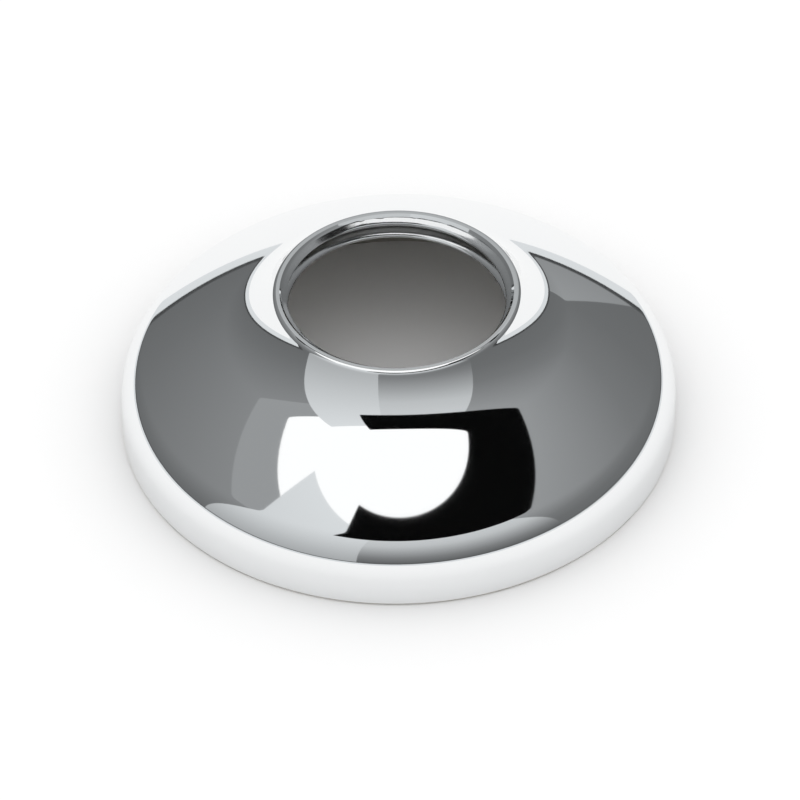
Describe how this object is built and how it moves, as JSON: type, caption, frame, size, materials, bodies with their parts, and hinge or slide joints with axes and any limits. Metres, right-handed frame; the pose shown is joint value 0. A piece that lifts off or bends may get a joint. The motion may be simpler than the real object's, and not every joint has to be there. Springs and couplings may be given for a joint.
{
  "type": "pipe rosette",
  "caption": "Bell-shaped chrome-plated cover ring with an internally threaded nose, for a pipe stub at a wall.",
  "frame": {"origin": "centre of the foot plane, on the axis of the bore", "axes": "+Z along the bore axis, from the foot towards the face of the nose; X and Y are free, since the ring is turned"},
  "size_m": [0.062, 0.062, 0.0187],
  "materials": {
    "chrome_plate": "mirror-bright plating on the outside, duller on the inside of the shell"
  },
  "bodies": {
    "root": {"rosette": "chrome_plate"}
  },
  "joints": []
}
